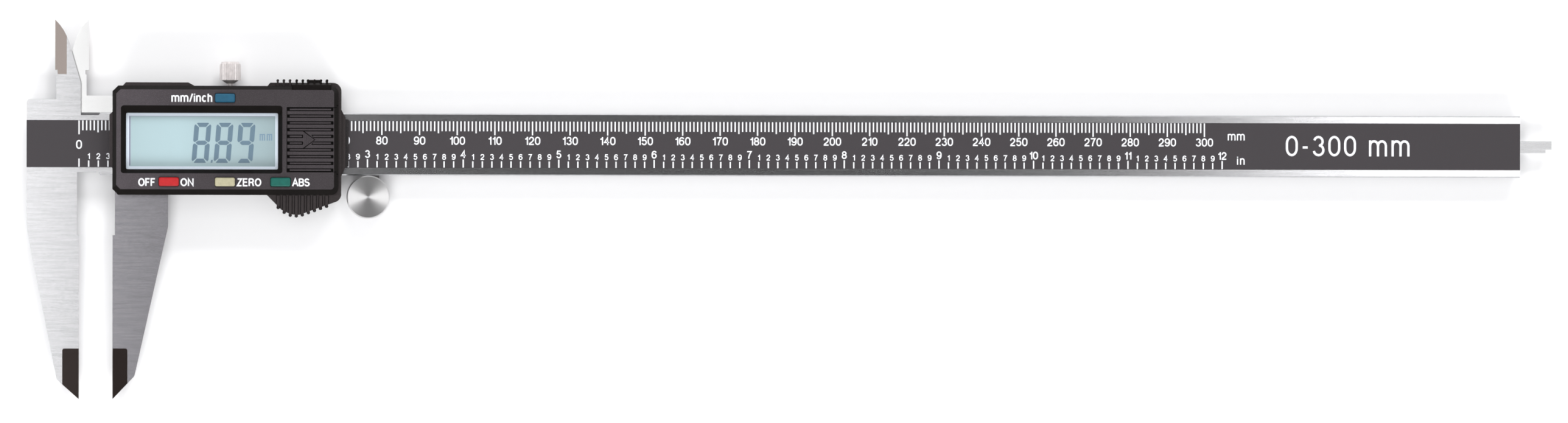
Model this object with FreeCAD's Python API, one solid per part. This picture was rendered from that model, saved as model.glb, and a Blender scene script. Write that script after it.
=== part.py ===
import FreeCAD, Part
import math
import os

# A 300 mm (12 inch) sliding caliper with a display, lying on its back with the display up.
#
# Working datum for the beam: x = 0 on the fixed jaw's outside measuring face, y = 0 on the
# beam's centre line with the inside blades on the +y side, z = 0 on the table.
# The slider's pieces use the same y and z, with x = 0 on the moving jaw's measuring face.
# At the end every piece moves to the object's own origin, below the middle of its outline.

# ---- Driving dimensions, millimetres ---------------------------------------------------
OPENING = 8.89              # jaw opening at rest
BEAM_LEFT = -13.8
BEAM_RIGHT = 385.5
BEAM_HALF = 8.25            # half of the beam's width
BEAM_THICK = 3.6            # jaws have the same thickness
BEAM_BACK = 2.25            # z of the beam's back face
BEAM_FRONT = BEAM_BACK + BEAM_THICK
MID_PLANE = BEAM_BACK + BEAM_THICK / 2
BEAM_EDGE = 0.3             # chamfer along the beam's four edges
STRIP_HALF = 6.25           # half width of the printed strip
STRIP_THICK = 0.3
NECK_HALF = 7.55            # half width of the beam's relief beside the fixed jaw
NECK_END = 5.2              # where that relief ends

JAW_TIP_Y = -67.65          # tips of the outside jaws
JAW_RELIEF_Y = -24.2        # above this the measuring faces are relieved
FACET_TOP_Y = -54.2         # ground facets that thin the jaw tips start here
TIP_LAND = 1.0              # what the facets leave of the thickness at the measuring face

BLADE_TIP_Y = 32.9          # tips of the inside blades
KNIFE_X = -6.36             # knife edge of either inside blade from its own datum
KNIFE_BOTTOM_Y = 18.4
KNIFE_FACET = 3.09          # width of the ground knife facet
BLADE_WIDTH = 6.82          # width of a blade's shank
BASE_TOP_Y = 11.8           # top of the fixed jaw's base
SHOULDER_TOP_Y = 12.75      # top of the slider frame's shoulder and upper rail

RUN_GAP = 0.05              # running gap between the beam and the slider
WEB_BACK = 0.8              # z of the slider frame's back
WEB_FRONT = BEAM_BACK - RUN_GAP
RAIL_LEFT = 0.6
RAIL_RIGHT = 60.0
LOWER_RAIL_Y = -12.5
GIB_THICK = 1.0
RAIL_FRONT = 6.5            # z of the rails' front, and of the housing's seat
LIP_Y = 7.2                 # the rails' lips reach over the beam's edges to this y

HOUSING_LEFT = 0.04
HOUSING_RIGHT = 60.3
HOUSING_BOTTOM_Y = -13.5
HOUSING_TOP_Y = 15.3
PAD_TOP_Y = 16.2            # the two raised stretches of the housing's top edge
SKIRT_BACK = 1.6            # z of the housing skirts' back edge
FLOOR_FRONT = 7.1           # z of the tray's floor
SEAM_Z = 11.0               # seam between the tray and the front cover
COVER_RIGHT = 59.5
COVER_SHOULDER = 12.9       # z where the cover's bevelled rim starts
FACE_Z = 14.0               # z of the front plate
FACE_WALL = 1.6             # thickness of the cover's front wall
PLATE = (1.05, 58.35, -12.0, 14.3)       # the raised front plate: left, right, bottom, top

DISPLAY_RECESS = (2.26, 44.71, -7.82, 10.17)
DISPLAY_OPENING = (3.58, 43.6, -6.76, 8.1)
WINDOW_THICK = 0.8
PANEL_GAP = 0.1             # air between the window and the display panel
PANEL_THICK = 1.5

KEY_SIZE = (5.25, 2.25)
KEY_RISE = 0.5              # height of a key above the front plate
KEY_TRAVEL = 0.4
KEYS = {
    "key_mm_inch": (29.6, 12.07),
    "key_power": (14.85, -10.05),
    "key_zero": (29.6, -10.1),
    "key_abs": (44.25, -10.1),
}

BOARD_FRONT = 7.9           # z of the circuit board's component side
DOME_HEIGHT = 0.5

CELL_X = 52.3
CELL_Y = 1.05
CELL_RADIUS = 5.8           # 11.6 mm button cell
CELL_BACK = 7.35
CELL_THICK = 5.4
DOOR = (45.86, 59.8, -7.5, 9.7)          # battery door: left, right, bottom, top
DOOR_GAP = 0.15
DOOR_BACK = 12.95
DOOR_SLOTS = (46.0, 58.2)   # ends of the grip slots
DOOR_SLOT_DEPTH = 0.7
DOOR_BARS = 10
DOOR_BAR_PITCH = 1.78
DOOR_ARROW = (50.2, 53.15, 2.15)         # x of its base, x of its tip, half height

PORT = (47.17, 57.6, 14.2, 16.2)         # data-port cover: left, right, bottom, top
PORT_BACK = 4.9
PORT_FRONT = 12.4
RIB_PITCH = 1.62            # finger ribs on and beside the port cover
RIB_NECK = 0.5
RIB_HEAD = 0.34             # radius of a rib's head
RIB_FOOT = 0.8              # how far a rib reaches down over the edge's front
RIB_BACK = 5.4
RIB_FRONT = 11.9
RIB_TOP_Y = 17.1

GRIP_CROWN = ((40.7, HOUSING_BOTTOM_Y, 0.4), (44.6, -17.45, 1.5), (47.0, -18.6, 2.5), (49.2, -18.8, 2.5),
              (51.7, -17.85, 3.0), (HOUSING_RIGHT, -14.8, 2.2))     # thumb grip's corners and their radii
GRIP_FALL = 3.1 / 7.0       # how steeply the grip's face falls away from the housing
RIB_OUT = 0.75              # how far its ribs stand out of that outline
RIB_HALF = 0.38
RIB_RISE = 0.3              # height of the ribs over the grip's face
GROOVE_WIDE = 0.2           # groove along either side of a rib
GROOVE_DEEP = 0.6
BEAD_RADIUS = 0.44          # round bead at the end of each rib
GRIP_RIBS = 9
GRIP_FIRST_X = 43.67
GRIP_PITCH = 1.6

LOCK_X = 30.97
LOCK_Z = 3.9
LOCK_HEAD_RADIUS = 2.8
LOCK_HEAD_Y = (16.93, 21.8)
LOCK_TEETH = 26

ROLLER_X = 67.5
ROLLER_RADIUS = 5.72
ROLLER_Y = -(BEAM_HALF + ROLLER_RADIUS + 0.03)
ROLLER_BACK = 2.35
ROLLER_FRONT = 6.4

ROD_HALF = 1.6              # half width of the depth rod
ROD_BACK = 2.45
ROD_FRONT = 4.15
ROD_LEFT = 5.5              # the rod's clamped end, from the slider's datum

STOP_LEFT = 374.0
STOP_RIGHT = 384.0

HOUSING_SCREWS = ((22.0, -10.4), (56.5, -10.4), (4.0, 11.05), (57.0, 11.05))
PLATE_SCREWS = ((7.0, 6.0), (7.0, -6.0), (55.0, 6.0), (55.0, -6.0))
GIB_SCREWS = (11.0, 41.5)

V = FreeCAD.Vector


# ---- Shape helpers ---------------------------------------------------------------------
def block(left, right, bottom, top, back, front):
    return Part.makeBox(right - left, top - bottom, front - back, V(left, bottom, back))


def post(x, y, back, front, radius):
    return Part.makeCylinder(radius, front - back, V(x, y, back))


def rod_along_y(x, z, bottom, top, radius):
    return Part.makeCylinder(radius, top - bottom, V(x, bottom, z), V(0, 1, 0))


def outline(corners, z):
    """Closed wire through (x, y, radius) corners, each corner rounded by its radius."""
    points = [V(x, y, z) for x, y, radius in corners]
    turns = []
    for i, (x, y, radius) in enumerate(corners):
        here = points[i]
        to_last = (points[i - 1] - here).normalize()
        to_next = (points[(i + 1) % len(points)] - here).normalize()
        half = to_last.getAngle(to_next) / 2
        reach = radius / math.tan(half)
        inward = (to_last + to_next)
        middle = here
        if radius > 0:
            middle = here + inward.normalize() * (radius / math.sin(half) - radius)
        turns.append((here + to_last * reach, middle, here + to_next * reach))
    edges = []
    for i, (start, middle, stop) in enumerate(turns):
        if corners[i][2] > 0:
            edges.append(Part.Arc(start, middle, stop).toShape())
        following = turns[(i + 1) % len(turns)][0]
        if stop.distanceToPoint(following) > 1e-4:
            edges.append(Part.makeLine(stop, following))
    return Part.Wire(edges)


def slab(corners, back, front):
    return Part.Face(outline(corners, back)).extrude(V(0, 0, front - back))


def tapered(low_corners, low_z, high_corners, high_z):
    """Solid between two outlines of the same make."""
    return Part.makeLoft([outline(low_corners, low_z), outline(high_corners, high_z)], True, True)


def rounded(box, radius):
    """Corners of a (left, right, bottom, top) box with one radius."""
    left, right, bottom, top = box
    return [(left, bottom, radius), (right, bottom, radius), (right, top, radius), (left, top, radius)]


def grown(box, amount):
    left, right, bottom, top = box
    return (left - amount, right + amount, bottom - amount, top + amount)


def profile_along_x(points, left, right):
    """Prism with a (y, z) section."""
    wire = Part.makePolygon([V(left, y, z) for y, z in points + points[:1]])
    return Part.Face(wire).extrude(V(right - left, 0, 0))


def profile_along_y(points, bottom, top):
    """Prism with an (x, z) section."""
    wire = Part.makePolygon([V(x, bottom, z) for x, z in points + points[:1]])
    return Part.Face(wire).extrude(V(0, top - bottom, 0))


def turned(points, x, y):
    """Solid of revolution about the vertical line at x, y from (radius, z) points."""
    wire = Part.makePolygon([V(x + radius, y, z) for radius, z in points + points[:1]])
    return Part.Face(wire).revolve(V(x, y, 0), V(0, 0, 1), 360)


def joined(shapes):
    whole = shapes[0].fuse(shapes[1:])
    return whole.removeSplitter()


def without(shape, cutters):
    return shape.cut(Part.makeCompound(cutters)) if cutters else shape


def facet_cutter(edge_x, inner_x, face_z, edge_z, bottom, top, corner):
    """Wedge that grinds a face away from nothing at inner_x to edge_z at edge_x."""
    out = edge_x + math.copysign(1.0, edge_x - inner_x)
    far = face_z + math.copysign(1.0, face_z - edge_z)
    wedge = profile_along_y(
        [(inner_x, face_z), (edge_x, edge_z), (out, edge_z), (out, far), (inner_x, far)], bottom, top)
    mask = slab([(out, bottom, 0), (inner_x, bottom, 0), (inner_x, top, corner), (out, top, 0)],
                min(edge_z, far) - 1, max(edge_z, far) + 1)
    return wedge.common(mask)


# ---- Jaws and blades -------------------------------------------------------------------
def inside_blade(side, relief, back, front, root_y):
    """Inside blade with its knife edge at KNIFE_X. side is +1 where its body lies towards +x."""
    def at(offset, y):
        return V(KNIFE_X + side * offset, y, back)

    edges = [
        Part.makeLine(at(relief, root_y), at(relief, KNIFE_BOTTOM_Y)),
        Part.makeLine(at(relief, KNIFE_BOTTOM_Y), at(relief + 0.33, KNIFE_BOTTOM_Y)),
        Part.makeLine(at(relief + 0.33, KNIFE_BOTTOM_Y), at(relief + 0.33, KNIFE_BOTTOM_Y + 1.15)),
        Part.makeLine(at(relief + 0.33, KNIFE_BOTTOM_Y + 1.15), at(0, KNIFE_BOTTOM_Y + 1.15)),
        Part.makeLine(at(0, KNIFE_BOTTOM_Y + 1.15), at(0, BLADE_TIP_Y)),
        Part.Arc(at(0, BLADE_TIP_Y), at(2.1, 30.3), at(4.1, 25.6)).toShape(),
        Part.makeLine(at(4.1, 25.6), at(BLADE_WIDTH, 16.2)),
        Part.makeLine(at(BLADE_WIDTH, 16.2), at(BLADE_WIDTH, root_y)),
        Part.makeLine(at(BLADE_WIDTH, root_y), at(relief, root_y)),
    ]
    return Part.Face(Part.Wire(edges)).extrude(V(0, 0, front - back))


def thinned_tip(jaw, inner_x):
    """Grinds the facets on both faces of an outside jaw whose measuring face is at x = 0."""
    depth = (BEAM_THICK - TIP_LAND) / 2
    cutters = [
        facet_cutter(0, inner_x, BEAM_FRONT, BEAM_FRONT - depth, JAW_TIP_Y - 1, FACET_TOP_Y, 0.6),
        facet_cutter(0, inner_x, BEAM_BACK, BEAM_BACK + depth, JAW_TIP_Y - 1, FACET_TOP_Y, 0.6),
    ]
    return without(jaw, cutters)


# ---- Beam assembly ---------------------------------------------------------------------
def beam_with_fixed_jaw():
    half = BEAM_HALF
    edge = BEAM_EDGE
    bar = profile_along_x(
        [(-half, BEAM_BACK + edge), (edge - half, BEAM_BACK), (half - edge, BEAM_BACK), (half, BEAM_BACK + edge),
         (half, BEAM_FRONT - edge), (half - edge, BEAM_FRONT), (edge - half, BEAM_FRONT),
         (-half, BEAM_FRONT - edge)],
        BEAM_LEFT + 8, BEAM_RIGHT)
    necks = [
        slab([(-0.5, sign * NECK_HALF, 0), (NECK_END, sign * NECK_HALF, 0), (NECK_END + 0.4, sign * half, 0),
              (NECK_END + 0.4, sign * (half + 1), 0), (-0.5, sign * (half + 1), 0)], 0, BEAM_FRONT + 1)
        for sign in (-1, 1)
    ]
    bar = without(bar, necks)

    jaw = slab(
        [(BEAM_LEFT, 0, 0), (BEAM_LEFT, -22.3, 40), (-5.8, -62.35, 1.5), (0, JAW_TIP_Y, 0),
         (0, JAW_RELIEF_Y, 0), (-0.5, JAW_RELIEF_Y, 0), (-0.5, 0, 0)],
        BEAM_BACK, BEAM_FRONT)
    jaw = thinned_tip(jaw, -4.33)

    shank_right = KNIFE_X + BLADE_WIDTH
    base = slab(
        [(BEAM_LEFT, -1, 0), (shank_right, -1, 0), (shank_right, BASE_TOP_Y, 0), (BEAM_LEFT, BASE_TOP_Y, 1)],
        BEAM_BACK, BEAM_FRONT)
    blade = inside_blade(1, 0.33, BEAM_BACK, BEAM_FRONT, 0)
    blade = without(blade, [facet_cutter(KNIFE_X, KNIFE_X + KNIFE_FACET, BEAM_FRONT, MID_PLANE + 0.08,
                                         KNIFE_BOTTOM_Y, BLADE_TIP_Y + 1, 0)])
    # The moving blade passes behind this one, so only the front half is left here.
    passage = block(BEAM_LEFT - 1, shank_right + 1, half, BLADE_TIP_Y + 1, BEAM_BACK - 1, MID_PLANE)
    upper = without(joined([base, blade]), [passage])

    strip_bed = block(BEAM_LEFT - 1, BEAM_RIGHT + 1, -STRIP_HALF, STRIP_HALF,
                      BEAM_FRONT - STRIP_THICK, BEAM_FRONT + 1)
    groove = slab([(3, -1.7, 1.6), (BEAM_RIGHT + 1, -1.7, 0), (BEAM_RIGHT + 1, 1.7, 0), (3, 1.7, 1.6)],
                  BEAM_BACK - 1, 4.35)
    stop_holes = [post(STOP_LEFT + 5, y, BEAM_BACK - 1, 4.6, 0.8) for y in (-4.8, 4.8)]
    return without(joined([bar, jaw, upper]), [strip_bed, groove] + stop_holes)


def beam_scale_strip():
    return block(BEAM_LEFT, BEAM_RIGHT, -STRIP_HALF, STRIP_HALF, BEAM_FRONT - STRIP_THICK, BEAM_FRONT)


def end_stop_plate():
    plate = slab(rounded((STOP_LEFT, STOP_RIGHT, -7, 7), 1.2), 0, BEAM_BACK)
    sinks = []
    for y in (-4.8, 4.8):
        sinks.append(post(STOP_LEFT + 5, y, -1, BEAM_BACK + 1, 0.82))
        sinks.append(post(STOP_LEFT + 5, y, -1, 1.0, 1.6))
    return without(plate, sinks)


def slotted_screw(x, y, head_back, head_front, tip, head_radius, shank_radius):
    """Screw along z with its slotted head at the back."""
    head = post(x, y, head_back, head_front, head_radius)
    shank = post(x, y, head_front - 0.1, tip, shank_radius)
    slot = block(x - head_radius - 1, x + head_radius + 1, y - 0.2, y + 0.2, head_back - 1, head_back + 0.35)
    return without(joined([head, shank]), [slot])


def end_stop_screws():
    screws = [slotted_screw(STOP_LEFT + 5, y, 0.1, 1.0, 4.4, 1.5, 0.78) for y in (-4.8, 4.8)]
    return Part.makeCompound(screws)


# ---- Slider's metal --------------------------------------------------------------------
def slider_frame():
    rail_y = BEAM_HALF + RUN_GAP
    upper_rail_y = rail_y + GIB_THICK + RUN_GAP
    web = block(RAIL_LEFT, RAIL_RIGHT, LOWER_RAIL_Y, SHOULDER_TOP_Y, WEB_BACK, WEB_FRONT)
    lower_rail = block(RAIL_LEFT, RAIL_RIGHT, LOWER_RAIL_Y, -rail_y, WEB_BACK, RAIL_FRONT)
    upper_rail = block(RAIL_LEFT, RAIL_RIGHT, upper_rail_y, SHOULDER_TOP_Y, WEB_BACK, RAIL_FRONT)
    lip_back = BEAM_FRONT + RUN_GAP
    lower_lip = block(1.4, RAIL_RIGHT, -rail_y - 0.5, -LIP_Y, lip_back, RAIL_FRONT)
    upper_lip = block(1.4, RAIL_RIGHT, LIP_Y, upper_rail_y + 0.5, lip_back, RAIL_FRONT)

    jaw = slab(
        [(RAIL_LEFT, -rail_y, 0), (RAIL_LEFT, JAW_RELIEF_Y, 0), (0, JAW_RELIEF_Y, 0), (0, JAW_TIP_Y, 0),
         (5.8, -61.5, 1.5), (14.61, -21.9, 6), (14.61, -rail_y, 0)],
        BEAM_BACK, BEAM_FRONT)
    jaw = thinned_tip(jaw, 3.95)

    blade_front = MID_PLANE - RUN_GAP
    blade_left = KNIFE_X - BLADE_WIDTH
    blade = inside_blade(-1, 0.6, BEAM_BACK, blade_front, rail_y)
    blade = without(blade, [facet_cutter(KNIFE_X, KNIFE_X - KNIFE_FACET, BEAM_BACK, blade_front - 0.08,
                                         KNIFE_BOTTOM_Y, BLADE_TIP_Y + 1, 0)])
    shoulder = slab(
        [(blade_left, rail_y, 0), (RAIL_LEFT + 0.1, rail_y, 0), (RAIL_LEFT + 0.1, SHOULDER_TOP_Y, 0),
         (blade_left, SHOULDER_TOP_Y, 0)],
        BEAM_BACK, blade_front)
    scribed = block(KNIFE_X - 0.1, KNIFE_X, rail_y - 1, SHOULDER_TOP_Y, blade_front - 0.12, blade_front + 1)
    upper = without(joined([shoulder, blade]), [scribed])

    cutters = [block(12, 50, -4.6, 4.6, WEB_BACK - 1, WEB_FRONT + 1),
               block(53.1, RAIL_RIGHT + 1, -7.9, -2.5, WEB_BACK - 1, WEB_FRONT + 1),
               rod_along_y(LOCK_X, LOCK_Z, upper_rail_y - 1, SHOULDER_TOP_Y + 1, 1.05),
               post(ROD_LEFT + 3, 0, WEB_BACK - 1, WEB_FRONT + 1, 0.62),
               post(ROD_LEFT + 3, 0, WEB_BACK - 1, 1.55, 1.35)]
    for x in GIB_SCREWS:
        cutters.append(rod_along_y(x, LOCK_Z, upper_rail_y - 1, SHOULDER_TOP_Y + 1, 1.02))
    for x, y in HOUSING_SCREWS:
        cutters.append(post(x, y, WEB_BACK - 1, RAIL_FRONT + 1, 0.82))
        cutters.append(post(x, y, WEB_BACK - 1, 1.75, 1.55))
    for x, y in PLATE_SCREWS:
        cutters.append(post(x, y, WEB_BACK - 1, WEB_FRONT + 1, 0.82))
    return without(joined([web, lower_rail, upper_rail, lower_lip, upper_lip, jaw, upper]), cutters)


def gib_strip():
    bottom = BEAM_HALF + RUN_GAP
    return block(1.2, 59.5, bottom, bottom + GIB_THICK, BEAM_BACK + 0.15, BEAM_FRONT - 0.1)


def gib_set_screws():
    bottom = BEAM_HALF + RUN_GAP + GIB_THICK
    screws = []
    for x in GIB_SCREWS:
        screw = rod_along_y(x, LOCK_Z, bottom, bottom + 3.1, 1.0)
        slot = block(x - 2, x + 2, bottom + 2.5, bottom + 4, LOCK_Z - 0.2, LOCK_Z + 0.2)
        screws.append(screw.cut(slot))
    return Part.makeCompound(screws)


def back_plate():
    plate = slab(rounded((4, 58, -7.9, 7.9), 1.5), 0, WEB_BACK)
    sinks = []
    for x, y in PLATE_SCREWS:
        sinks.append(post(x, y, -1, WEB_BACK + 1, 0.82))
        sinks.append(post(x, y, -1, 0.5, 1.55))
    return without(plate, sinks)


def back_plate_screws():
    return Part.makeCompound([slotted_screw(x, y, 0.05, 0.5, WEB_FRONT - 0.05, 1.5, 0.8)
                              for x, y in PLATE_SCREWS])


def depth_rod():
    tip = BEAM_RIGHT
    bar = block(ROD_LEFT, tip, -ROD_HALF, ROD_HALF, ROD_BACK, ROD_FRONT)
    head = block(ROD_LEFT, ROD_LEFT + 6.5, -ROD_HALF, ROD_HALF, WEB_FRONT, ROD_FRONT)
    notch = block(tip - 1.6, tip + 1, -ROD_HALF - 1, -ROD_HALF + 0.9, ROD_BACK - 1, ROD_FRONT + 1)
    hole = post(ROD_LEFT + 3, 0, WEB_BACK, ROD_FRONT + 1, 0.62)
    return without(joined([bar, head]), [notch, hole])


def depth_rod_screw():
    return slotted_screw(ROD_LEFT + 3, 0, 0.85, 1.55, ROD_FRONT - 0.2, 1.3, 0.6)


def roller_bracket():
    plate = slab(
        [(53.2, -7.8, 0.3), (66.3, -7.8, 0), (66.3, -9.5, 0), (64.3, -11.5, 0.5), (64.3, -17.5, 3),
         (70.85, -17.5, 3), (70.85, -9.2, 0), (70.5, -9.2, 0), (70.5, -2.6, 1.5), (53.2, -2.6, 0.3)],
        0.9, 2.1)
    holes = [post(55, -6, 0, 3, 0.82), post(ROLLER_X, ROLLER_Y, 0, 3, 1.0)]
    return without(plate, holes)


def roller_axle():
    return turned([(0, 0.9), (1.0, 0.9), (1.0, 2.25), (0.95, 2.25), (0.95, 5.5), (0, 5.5)], ROLLER_X, ROLLER_Y)


def thumb_roller():
    rim = ROLLER_RADIUS
    return turned(
        [(1.0, ROLLER_BACK), (rim - 0.25, ROLLER_BACK), (rim, ROLLER_BACK + 0.25), (rim, ROLLER_FRONT - 0.3),
         (rim - 0.3, ROLLER_FRONT), (0, ROLLER_FRONT), (0, 5.6), (1.0, 5.6)],
        ROLLER_X, ROLLER_Y)


# ---- Housing ---------------------------------------------------------------------------
def tray_outline():
    return [(HOUSING_LEFT, -11.8, 0.3), (1.4, HOUSING_BOTTOM_Y, 0.3)] + list(GRIP_CROWN) + [
        (HOUSING_RIGHT, PAD_TOP_Y, 2.2),
        (41.5, PAD_TOP_Y, 0.4), (40.8, HOUSING_TOP_Y, 0.4), (21.6, HOUSING_TOP_Y, 0.4), (19.96, PAD_TOP_Y, 0.4),
        (3.5, PAD_TOP_Y, 0.3), (2.7, HOUSING_TOP_Y, 0.2), (1.54, HOUSING_TOP_Y, 0.3), (HOUSING_LEFT, 13.9, 0.3),
    ]


def grip_edge(x):
    """y of the thumb grip's outline at x."""
    for (left, left_y, _), (right, right_y, _) in zip(GRIP_CROWN, GRIP_CROWN[1:]):
        if left <= x <= right:
            return left_y + (right_y - left_y) * (x - left) / (right - left)
    return HOUSING_BOTTOM_Y


def ahead_of_grip(rise):
    """Everything in front of a plane that lies this much over the thumb grip's sloping face."""
    near = SEAM_Z + rise
    far_y = HOUSING_BOTTOM_Y - 7
    return profile_along_x(
        [(HOUSING_BOTTOM_Y, near), (far_y, near - 7 * GRIP_FALL), (far_y, 20), (HOUSING_BOTTOM_Y, 20)],
        40, HOUSING_RIGHT + 1)


def grip_ribs():
    ribs = []
    for i in range(GRIP_RIBS):
        x = GRIP_FIRST_X + i * GRIP_PITCH
        bead_y = grip_edge(x) - RIB_OUT + BEAD_RADIUS
        bead_z = SEAM_Z + RIB_RISE + (bead_y - HOUSING_BOTTOM_Y) * GRIP_FALL - BEAD_RADIUS / 2
        rib = block(x - RIB_HALF, x + RIB_HALF, bead_y, HOUSING_BOTTOM_Y - 0.1, 3.2, SEAM_Z + 1)
        ribs.append(rib.cut(ahead_of_grip(RIB_RISE)))
        ribs.append(post(x, bead_y, 3.2, bead_z, BEAD_RADIUS))
        ribs.append(Part.makeSphere(BEAD_RADIUS, V(x, bead_y, bead_z)))
    return ribs


def grip_grooves():
    grooves = []
    for i in range(GRIP_RIBS):
        x = GRIP_FIRST_X + i * GRIP_PITCH
        for left in (x - RIB_HALF - GROOVE_WIDE, x + RIB_HALF):
            groove = block(left, left + GROOVE_WIDE, grip_edge(x) - 0.5, HOUSING_BOTTOM_Y - 0.1, 3, SEAM_Z + 1)
            grooves.append(groove.common(ahead_of_grip(-GROOVE_DEEP)))
    return grooves


def edge_rib(x):
    """Finger rib with a round head on the housing's top edge."""
    head_y = RIB_TOP_Y - RIB_HEAD
    neck = block(x - RIB_NECK / 2, x + RIB_NECK / 2, PAD_TOP_Y - RIB_FOOT, head_y, RIB_BACK, RIB_FRONT)
    head = post(x, head_y, RIB_BACK, RIB_FRONT, RIB_HEAD)
    return neck.fuse(head)


def housing_base():
    shell = slab(tray_outline(), SKIRT_BACK, SEAM_Z)
    back_slope = profile_along_x(
        [(HOUSING_BOTTOM_Y, SKIRT_BACK), (-20.5, 5.0), (-20.5, 0), (HOUSING_BOTTOM_Y, 0)],
        40, HOUSING_RIGHT + 1)
    shell = without(shell, [ahead_of_grip(0), back_slope] + grip_grooves())
    shell = joined([shell] + [rib.cut(back_slope) for rib in grip_ribs()])

    left_lip = slab([(0.3, 8.5, 0), (HOUSING_LEFT, 8.5, 0), (-0.84, 7.7, 0), (-0.84, -5.7, 0),
                     (HOUSING_LEFT, -6.5, 0), (0.3, -6.5, 0)], 6.1, 9.0)
    right_lip = slab([(60, -8.6, 0), (HOUSING_RIGHT, -8.6, 0), (61.4, -5.9, 0.5), (61.4, 7.0, 0.5),
                      (HOUSING_RIGHT, 9.2, 0), (60, 9.2, 0)], 6.65, 9.0)
    ribs = [edge_rib(43.5 + i * RIB_PITCH) for i in range(3)]
    shell = joined([shell, left_lip, right_lip] + ribs)

    cavity = slab(rounded((1.25, 59.1, -12.3, 13.9), 0.8), FLOOR_FRONT, SEAM_Z + 1)
    cutters = [
        block(-2, RAIL_LEFT + 0.75, -20, 20, 0, 5.95),
        block(-2, 0.0, -20, 20, 0, 6.1),
        block(RAIL_LEFT - 0.1, 62, LOWER_RAIL_Y - 0.05, SHOULDER_TOP_Y + 0.05, 0, RAIL_FRONT),
        block(-2, 15, -20, LOWER_RAIL_Y, 0, 5.95),
        block(60.2, 62, -9, 9, 0, 6.65),
        cavity,
        block(5, 45.4, -6.95, 6.95, RAIL_FRONT - 1, FLOOR_FRONT + 1),
        block(PORT[0], PORT[1], PORT[2], 20, PORT_BACK, SEAM_Z + 1),
        block(49.2, 55.4, 13, 15, 6.8, 9.0),
        rod_along_y(LOCK_X, LOCK_Z, 12, 18, 1.3),
    ]
    for x in GIB_SCREWS:
        cutters.append(rod_along_y(x, LOCK_Z, 12, 18, 1.15))
    tray = without(shell, cutters)
    bosses = [post(x, y, RAIL_FRONT, SEAM_Z - 0.2, 1.9).common(slab(tray_outline(), 0, 20))
              for x, y in HOUSING_SCREWS]
    tray = joined([tray] + bosses)
    return without(tray, [post(x, y, RAIL_FRONT - 1, 9.4, 0.82) for x, y in HOUSING_SCREWS])


def cover_outline(box, corner_cut, corner_radius):
    """Outline with cut corners on the left and round ones on the right."""
    left, right, bottom, top = box
    return [
        (left, bottom + corner_cut, 0.2), (left + corner_cut, bottom, 0.2), (right, bottom, corner_radius),
        (right, top, corner_radius), (left + corner_cut, top, 0.2), (left, top - corner_cut, 0.2),
    ]


def front_cover():
    rim = cover_outline((HOUSING_LEFT, COVER_RIGHT, HOUSING_BOTTOM_Y, HOUSING_TOP_Y), 1.5, 2.0)
    face = cover_outline(PLATE, 1.1, 0.9)
    shell = joined([slab(rim, SEAM_Z, COVER_SHOULDER), tapered(rim, COVER_SHOULDER, face, FACE_Z)])

    recess_low = rounded(DISPLAY_OPENING, 0.4)
    recess_high = rounded(DISPLAY_RECESS, 0.7)
    inner_z = FACE_Z - FACE_WALL
    cutters = [
        slab(rounded((1.3, 58.2, -12.2, 13.9), 0.8), SEAM_Z - 1, inner_z),
        tapered(recess_low, inner_z + 0.3, recess_high, FACE_Z),
        slab(recess_high, FACE_Z, FACE_Z + 1),
        slab(recess_low, inner_z - 1, inner_z + 0.4),
        block(PORT[0], PORT[1], PORT[2] + 0.05, 20, SEAM_Z - 1, FACE_Z + 1),
        block(DOOR[0], DOOR[1] + 1, DOOR[2], DOOR[3], DOOR_BACK, FACE_Z + 1),
        block(DOOR[0], DOOR[1] + 1, DOOR[2] - 0.6, DOOR[3] + 0.6, DOOR_BACK, 13.35),
        post(CELL_X, CELL_Y, SEAM_Z - 1, FACE_Z, CELL_RADIUS + 0.15),
    ]
    slot = (KEY_SIZE[0] / 2 + 0.12, KEY_SIZE[1] / 2 + 0.12)
    for x, y in KEYS.values():
        slot_box = (x - slot[0], x + slot[0], y - slot[1], y + slot[1])
        cutters.append(slab(rounded(slot_box, 0.5), inner_z - 1, FACE_Z + 1))
    return without(shell, cutters)


def lcd_window():
    front = FACE_Z - FACE_WALL
    return slab(rounded(grown(DISPLAY_OPENING, 0.8), 0.5), front - WINDOW_THICK, front)


def lcd_panel():
    front = FACE_Z - FACE_WALL - WINDOW_THICK - PANEL_GAP
    return block(DISPLAY_OPENING[0] - 0.3, DISPLAY_OPENING[1] + 0.3, DISPLAY_OPENING[2] - 0.3,
                 DISPLAY_OPENING[3] + 0.3, front - PANEL_THICK, front)


def lcd_connectors():
    front = FACE_Z - FACE_WALL - WINDOW_THICK - PANEL_GAP - PANEL_THICK
    strips = [block(5.5, 41.5, y, y + 1.6, BOARD_FRONT, front) for y in (-6.7, 6.4)]
    return Part.makeCompound(strips)


def circuit_board():
    board = slab(rounded((1.6, 45.3, -12.0, 13.6), 0.8), FLOOR_FRONT, BOARD_FRONT)
    sensor = block(5.3, 45.1, -6.8, 6.8, BEAM_FRONT + 0.15, FLOOR_FRONT)
    sensor_floor = block(5.3, 45.1, -6.8, 6.8, FLOOR_FRONT - 0.1, FLOOR_FRONT + 0.1)
    chip = block(18, 25, -3, 4, BOARD_FRONT - 0.1, BOARD_FRONT + 1.1)
    crystal = block(30, 36, -1, 1, BOARD_FRONT - 0.1, BOARD_FRONT + 1.3)
    holes = [post(x, y, 0, 20, 2.05) for x, y in HOUSING_SCREWS]
    return without(joined([board, sensor, sensor_floor, chip, crystal]), holes)


def key_domes():
    domes = [Part.makeCone(1.9, 1.1, DOME_HEIGHT, V(x, y, BOARD_FRONT)) for x, y in KEYS.values()]
    return Part.makeCompound(domes)


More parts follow.
